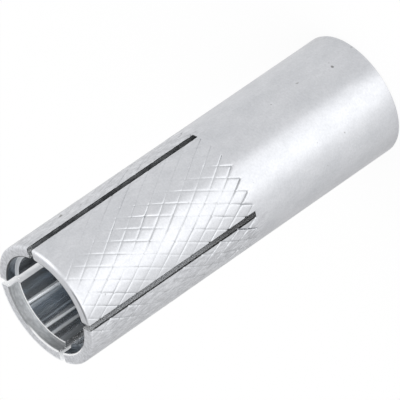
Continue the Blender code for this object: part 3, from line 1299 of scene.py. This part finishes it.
@dataclass(frozen=True)
class SawnZinc:
    """Zinc over the walls of a saw cut. The two cuts are one finish painted as a lit and a shaded
    copy.

    The heights and distances from the axis are where a change of tone starts and ends, and
    the levels are of the noise that breaks it up.
    """

    name: str
    light: tuple
    dull: tuple
    roughness: tuple
    metal: float
    # Painted shade: the wall darkens to this tone towards the root of the cut.
    root_tone: float = 1.0
    root_heights: tuple = (27.5 * MM, 31.0 * MM)
    # The lower cut is drawn darker by this factor.
    lower_tone: float = 0.80
    # Colour of the chips at the mouth, and of the lower cut's outer part as painted light.
    chip_and_light: tuple = (0.860, 0.870, 0.880)
    chip_levels: tuple = (0.50, 0.58)
    chip_heights: tuple = (49.05 * MM, 49.55 * MM)
    fleck_levels: tuple = (0.56, 0.64)
    fleck_heights: tuple = (43.0 * MM, 46.0 * MM)
    # Painted shadow line at the wall's outer edge, on the camera's side.
    edge: float = 0.30
    edge_radii: tuple = (7.84 * MM, 7.92 * MM)
    edge_side: tuple = (0.0, 0.30, 0.50)
    # Painted light: the lower cut's outer part, beyond these distances from the axis.
    rim_radii: tuple = (6.65 * MM, 6.95 * MM)
    relief: float = 0.006 * MM

    def make(self) -> Material:
        """Make the zinc, with marks across the wall and a painted shadow line at its outer edge.

        Returns:
            The material.
        """
        nodes = FinishNodes(bpy.data.materials.new(self.name))
        marks = nodes.noise(900.0, 4200.0, 3.0)
        patches = nodes.noise(1300.0, 900.0, 2.0, 0.5)
        crumbs = nodes.noise(5000.0, 5000.0, 2.0)
        wall = patches.spread(0.38, 0.62).blend(self.light, self.dull)
        # Painted shade towards the root of the cut.
        wall = nodes.scaled(wall, nodes.upwards(*self.root_heights, self.root_tone))
        # Painted shadow line at the outer edge.
        at_edge = nodes.outwards(*self.edge_radii) * nodes.facing(*self.edge_side)
        wall = at_edge.blend(wall, tuple(self.edge * part for part in self.dull))
        lower = nodes.facing(*LOWER_CUT)
        wall = nodes.scaled(wall, lower.mixed(1.0, self.lower_tone))
        chips_and_light = nodes.upwards(*self.chip_heights) * crumbs.spread(*self.chip_levels)
        flecks = nodes.upwards(*self.fleck_heights) * crumbs.spread(*self.fleck_levels) * lower
        # Chips and flecks, and painted light on the lower cut's outer part.
        chips_and_light = chips_and_light | flecks | lower * nodes.outwards(*self.rim_radii)
        return nodes.dress(chips_and_light.blend(wall, self.chip_and_light),
                           marks.spread(0.3, 0.7, *self.roughness), self.metal, marks, self.relief)


# Painted light and shade: one saw finish as a lit copy and a shaded copy.
LIT_CUT = SawnZinc("lit_sawn_zinc", light=(0.920, 0.928, 0.940), dull=(0.870, 0.882, 0.900),
                      roughness=(0.22, 0.28), metal=0.66, root_tone=0.66, relief=0.002 * MM,
                      edge=0.13, edge_radii=(7.68 * MM, 7.76 * MM))
SHADED_CUT = SawnZinc("shaded_sawn_zinc", light=(0.300, 0.310, 0.320), dull=(0.140, 0.146, 0.154),
                    roughness=(0.35, 0.50), metal=0.45)


@dataclass(frozen=True)
class TurnedPlug:
    """Plain turned steel of the plug, with the lathe's rings on its cone and end faces."""

    name: str = "turned_plug_steel"
    light: tuple = (0.560, 0.560, 0.565)
    dull: tuple = (0.420, 0.420, 0.430)
    roughness: tuple = (0.26, 0.38)
    relief: float = 0.008 * MM

    def make(self) -> Material:
        """Make the steel, with faint mottling and rings.

        Returns:
            The material.
        """
        nodes = FinishNodes(bpy.data.materials.new(self.name))
        rings, mottle = nodes.noise(60.0, 6000.0, 2.0, 0.5), nodes.noise(450.0, 450.0, 3.0)
        return nodes.dress(mottle.spread(0.35, 0.68).blend(self.light, self.dull),
                           mottle.spread(0.3, 0.7, *self.roughness), 1.0, rings, self.relief)


@dataclass(frozen=True)
class Lamp:
    """A soft area lamp: turn and elevation in degrees, and distance, size and power."""

    name: str
    turn: float
    elevation: float
    distance: float
    size: tuple
    power: float

    def add(self, centre: Vector) -> None:
        """Add the lamp so that it faces the object, unseen by the camera itself.

        Args:
            centre: Middle of the object.
        """
        light = bpy.data.lights.new(self.name, "AREA")
        light.shape = "RECTANGLE"
        light.size, light.size_y = self.size
        light.energy = self.power
        away = direction(self.turn, self.elevation)
        lamp = placed(self.name, light)
        lamp.matrix_world = (Matrix.Translation(centre + away * self.distance)
                             @ away.to_track_quat("Z", "Y").to_matrix().to_4x4())
        lamp.visible_camera = False


@dataclass(frozen=True)
class Studio:
    """The camera of the photograph, the pale floor, the white surroundings and the lamps.

    A side of the surroundings is a turn, an inner and an outer half width, all in degrees,
    and what it adds to the level.
    """

    tilt: float = radians(28.0972)
    roll: float = radians(34.6076)
    distance: float = 816.63 * MM
    shift_right: float = 0.169 * MM
    shift_down: float = -0.234 * MM
    lens: float = 624.31
    clip_start: float = 0.01
    floor_radius: float = 8.0
    floor_tone: float = 0.9
    shadow: float = 0.12
    level: float = 0.985
    sides: tuple = ((-17.8, 12.3, 40.4, 0.50), (-55.6, 30.0, 84.0, 0.19),
                    (-136.4, 32.0, 80.0, -0.22))
    lamps: tuple = (Lamp("key", -24.0, 20.0, 3.0, (2.0, 1.2), 5.0),
                    Lamp("fill", 72.0, 42.0, 3.0, (1.6, 1.6), 8.0))

    def add_camera(self, centre: Vector) -> None:
        """Stand the camera off the object's middle, tilted down and rolled like the photograph.

        With a the sleeve's axis downwards, s its side and e the way to the camera, right is
        cos(tilt) cos(roll) a - sin(roll) s + sin(tilt) cos(roll) e, and down is a quarter on.

        Args:
            centre: Middle of the object.
        """
        axis, near, side = Vector((0.0, 0.0, -1.0)), direction(0.0), direction(90.0)
        cos_tilt, sin_tilt = cos(self.tilt), sin(self.tilt)
        cos_roll, sin_roll = cos(self.roll), sin(self.roll)
        right = cos_tilt * cos_roll * axis - sin_roll * side + sin_tilt * cos_roll * near
        down = -cos_tilt * sin_roll * axis - cos_roll * side - sin_tilt * sin_roll * near
        ahead = sin_tilt * axis - cos_tilt * near
        camera = placed("camera", bpy.data.cameras.new("camera"))
        camera.data.lens = self.lens
        camera.data.clip_start = self.clip_start
        turned = Matrix((right, -down, -ahead)).transposed().to_4x4()
        spot = centre - right * self.shift_right - down * self.shift_down - ahead * self.distance
        camera.matrix_world = Matrix.Translation(spot) @ turned
        bpy.context.scene.camera = camera

    def add_world(self) -> None:
        """Make the surroundings white: brighter at the key's side, dimmer behind.

        The level is a base plus, for each side, a share that follows the cosine of the turn
        from there through a smooth step.
        """
        world = bpy.data.worlds.new("white_surroundings")
        nodes = FinishNodes(world, "World", "Background", "Generated")
        total = self.level
        for turn, near, far, share in self.sides:
            total = nodes.facing(turn, cos(radians(far)), cos(radians(near)),
                                 end=share, interpolation_type="SMOOTHSTEP") + total
        seen = nodes.add("LightPath", "Is Camera Ray", {}).mixed(total, 1.0)
        nodes.feed(nodes.shader, {"Color": (1.0, 1.0, 1.0), "Strength": seen})
        bpy.context.scene.world = world

    def add_floor(self) -> None:
        """Lay a pale floor that looks white and keeps a share of the object's shadow."""
        far = self.floor_radius
        mesh = bpy.data.meshes.new("floor")
        mesh.from_pydata([(-far, -far, 0.0), (far, -far, 0.0), (far, far, 0.0), (-far, far, 0.0)],
                         [], [(0, 1, 2, 3)])
        floor = placed("floor", mesh)
        nodes = FinishNodes(bpy.data.materials.new("pale_floor"))
        nodes.feed(nodes.shader, {"Base Color": (self.floor_tone,) * 3,
                                  "Roughness": self.floor_tone, "Specular IOR Level": 0.0})
        camera, glossy, through = [nodes.add("LightPath", f"Is {kind} Ray", {})
                                   for kind in ("Camera", "Glossy", "Transmission")]
        white = (camera | glossy | through) * (1.0 - self.shadow)
        nodes.feed(nodes.output, {"Surface": nodes.add(
            "MixShader", 0, {0: white, 1: Field(nodes, nodes.shader.outputs[0]),
                             2: nodes.add("Emission", 0, {})})})
        mesh.materials.append(nodes.owner)
        floor.visible_glossy = False

    def build(self, centre: Vector) -> None:
        """Set up the camera, floor, surroundings and lamps round the object.

        Args:
            centre: Middle of the object.
        """
        bpy.context.scene.view_settings.view_transform = "Standard"
        self.add_camera(centre)
        self.add_world()
        self.add_floor()
        for lamp in self.lamps:
            lamp.add(centre)


def main() -> None:
    """Build the sleeve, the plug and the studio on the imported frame, and note the sizes."""
    logging.basicConfig(level=logging.INFO, format="%(message)s")
    for item in list(bpy.data.objects):
        bpy.data.objects.remove(item)
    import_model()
    low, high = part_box("sleeve")

    finishes = [finish.make() for finish in (ZincPlate(), BoredZinc(), CounterboredZinc(),
                                             LIT_CUT, SHADED_CUT)]
    sleeve = Sleeve((high.x - low.x) / 2, high.z, finishes)
    body = sleeve.build()
    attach(body, "root")
    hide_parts("sleeve")
    LOG.info("%s: %d faces", body.name, len(body.data.polygons))

    plug = ExpanderPlug(sleeve, TurnedPlug().make()).build()
    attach(plug, "root")
    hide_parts("expander_plug")
    LOG.info("%s: %d faces", plug.name, len(plug.data.polygons))

    Studio().build((low + high) / 2)
    LOG.info("camera, floor and lamps are set")


if __name__ == "__main__":
    main()
